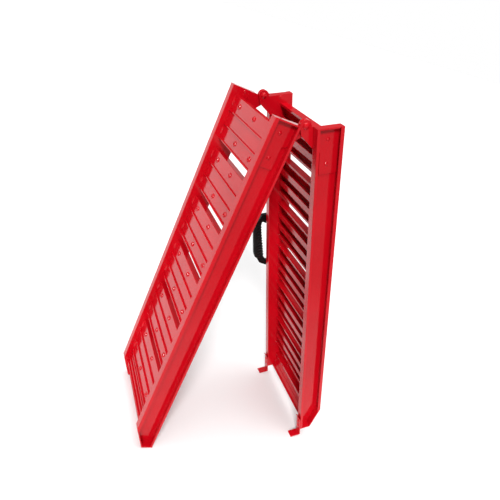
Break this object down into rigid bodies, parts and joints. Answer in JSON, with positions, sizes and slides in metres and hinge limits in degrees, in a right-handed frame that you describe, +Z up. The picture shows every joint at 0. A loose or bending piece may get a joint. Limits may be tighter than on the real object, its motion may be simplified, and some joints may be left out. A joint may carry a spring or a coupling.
{
  "type": "dog ramp",
  "caption": "Folding aluminium dog ramp: two slatted, ribbed sections pivoted at one end, with channel rails, tip hooks and a carrying handle, standing open as an A-frame.",
  "frame": {"origin": "centre of the bounding box's base: on the floor, midway between the feet of the two halves and across the width", "axes": "+Z up; +Y across the ramp, towards the carrying handle; +X from the lower half's tip to the upper half's hooked tip"},
  "size_m": [0.532, 0.323, 0.9257],
  "materials": {
    "red_paint": "glossy red powder coat on aluminium",
    "washer_steel": "zinc-plated steel",
    "black_plastic": "satin black glass-filled plastic",
    "grip_rubber": "soft black rubber",
    "black_steel": "black oxide steel"
  },
  "bodies": {
    "lower_section": {"lower_doubler_far": "red_paint", "lower_doubler_near": "red_paint", "lower_end_plate": "red_paint", "lower_hinge_plate_far": "red_paint", "lower_hinge_plate_near": "red_paint", "lower_rail_far": "red_paint", "lower_rail_near": "red_paint", "lower_rivets": "red_paint", "lower_tip_cap_far": "red_paint", "lower_tip_cap_near": "red_paint", "lower_tread_1": "red_paint", "lower_tread_2": "red_paint", "lower_tread_3": "red_paint", "lower_tread_4": "red_paint", "lower_tread_5": "red_paint", "lower_tread_6": "red_paint"},
    "upper_section": {"handle_bracket_bottom": "black_plastic", "handle_bracket_top": "black_plastic", "handle_screws": "black_steel", "hook_bolts": "red_paint", "hook_far": "red_paint", "hook_near": "red_paint", "pivot_bolt_far": "red_paint", "pivot_bolt_near": "red_paint", "pivot_nut_far": "red_paint", "pivot_nut_near": "red_paint", "pivot_washer_far": "washer_steel", "pivot_washer_near": "washer_steel", "upper_doubler_far": "red_paint", "upper_doubler_near": "red_paint", "upper_end_plate": "red_paint", "upper_hinge_plate_far": "red_paint", "upper_hinge_plate_near": "red_paint", "upper_rail_far": "red_paint", "upper_rail_near": "red_paint", "upper_rivets": "red_paint", "upper_tip_cap_far": "red_paint", "upper_tip_cap_near": "red_paint", "upper_tread_1": "red_paint", "upper_tread_2": "red_paint", "upper_tread_3": "red_paint", "upper_tread_4": "red_paint", "upper_tread_5": "red_paint", "upper_tread_6": "red_paint"},
    "handle": {"handle_bail": "black_plastic", "handle_grip": "grip_rubber", "handle_pins": "black_steel"}
  },
  "joints": [
    {"name": "fold_hinge", "type": "hinge", "parent": "lower_section", "child": "upper_section", "pos_m": [-0.05966, -0.0097, 0.90555], "axis": [0, -1, 0], "range_deg": [-25.7, 154.3]},
    {"name": "handle_swing", "type": "hinge", "parent": "upper_section", "child": "handle", "pos_m": [0.09827, 0.1525, 0.49611], "axis": [0.2931, 0, -0.9561], "range_deg": [0, 95]}
  ]
}
